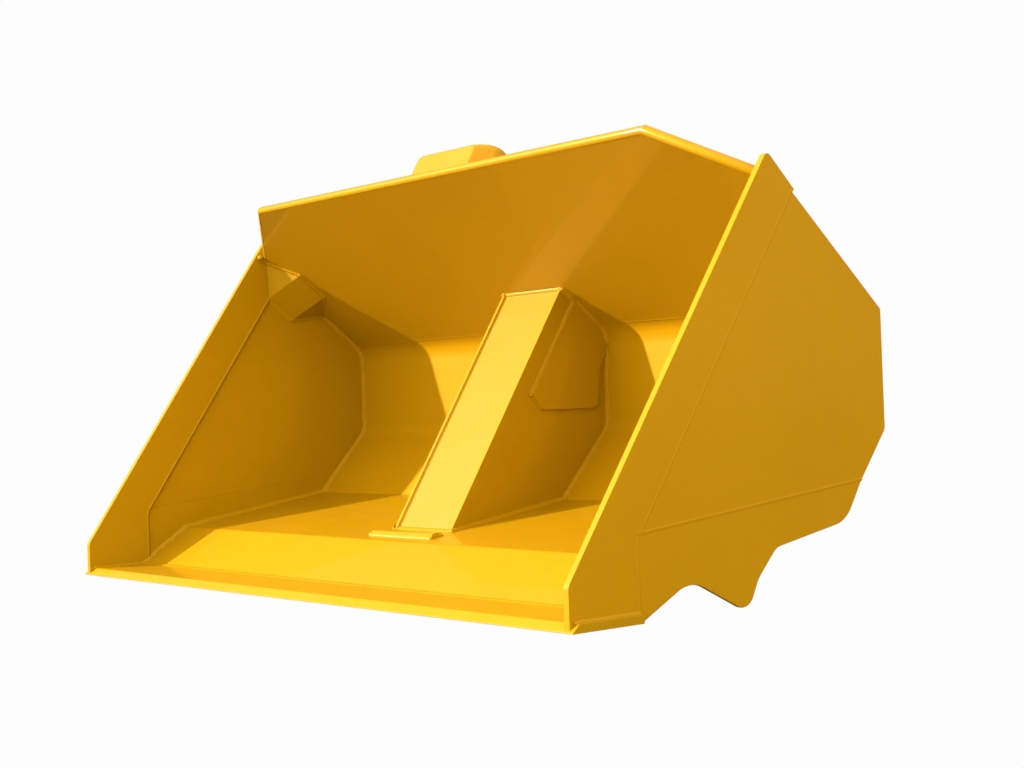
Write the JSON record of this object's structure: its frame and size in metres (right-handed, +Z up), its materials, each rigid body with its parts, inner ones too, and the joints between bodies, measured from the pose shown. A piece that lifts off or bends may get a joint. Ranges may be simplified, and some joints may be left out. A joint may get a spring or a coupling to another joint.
{
  "type": "rollout bucket",
  "caption": "Wide loader bucket that tips forward on hinges under its floor, driven by a cylinder inside a box in its middle; rear carrier has hook and lock mounts.",
  "frame": {"origin": "middle of the rest plane under the part's bounding box", "axes": "+X across the bucket, -Y out of its mouth, +Z up; left is the -X side"},
  "size_m": [2.8, 1.562, 1.476],
  "materials": {
    "paint": "gloss yellow coating over welded steel plate",
    "steel": "machined steel",
    "chrome": "hard chromed and polished",
    "bronze": "turned bronze",
    "rubber": "matt"
  },
  "bodies": {
    "carrier": {"carrier_arm_left": "paint", "carrier_arm_right": "paint", "hinge_bush_left": "bronze", "hinge_bush_right": "bronze", "front_cross_tube": "paint", "lower_cross_beam": "paint", "upper_cross_beam": "paint", "coupler_plate_left": "paint", "coupler_plate_right": "paint", "lock_bushes": "steel", "cylinder_ears": "paint", "lower_pin": "steel", "lower_keeper": "paint", "lower_keeper_bolt": "steel", "stop_pads": "rubber"},
    "bucket": {"cutting_edge": "paint", "floor_plate": "paint", "rear_plate": "paint", "upper_plate": "paint", "top_edge": "paint", "top_hood": "paint", "side_cutter_left": "paint", "side_cutter_right": "paint", "side_plate_left": "paint", "side_plate_right": "paint", "skid_plate_left": "paint", "skid_plate_right": "paint", "corner_gusset_left": "paint", "corner_gusset_right": "paint", "box_web_left": "paint", "box_web_right": "paint", "box_cover": "paint", "web_doubler_left": "paint", "web_doubler_right": "paint", "box_foot_bar": "paint", "lip_ribs": "paint", "hinge_ears_left": "paint", "hinge_ears_right": "paint", "hinge_pin_left": "steel", "hinge_pin_right": "steel", "hinge_keepers": "paint", "hinge_keeper_bolts": "steel", "upper_pin": "steel", "upper_pin_bosses": "paint", "rear_stop_plates": "paint"},
    "barrel": {"cylinder_barrel": "paint", "barrel_bush": "bronze", "cylinder_gland": "steel", "rod_wiper": "rubber"},
    "rod": {"cylinder_rod": "chrome", "cylinder_piston": "steel", "piston_rings": "rubber", "piston_nut": "steel"}
  },
  "joints": [
    {"name": "tip", "type": "hinge", "parent": "carrier", "child": "bucket", "pos_m": [0, -0.126, 0.085], "axis": [1, 0, 0], "range_deg": [0, 55]},
    {"name": "barrel_pivot", "type": "hinge", "parent": "carrier", "child": "barrel", "pos_m": [0, 0.041, 0.078], "axis": [1, 0, 0], "range_deg": [0, 54]},
    {"name": "rod_slide", "type": "slide", "parent": "barrel", "child": "rod", "axis": [0, 0.3997, 0.9166], "range_m": [0, 0.1545]}
  ],
  "couplings": [
    {"joint": "barrel_pivot", "follows": "tip", "ratio": 0.98},
    {"joint": "rod_slide", "follows": "tip", "m_per_rad": 0.1606}
  ]
}
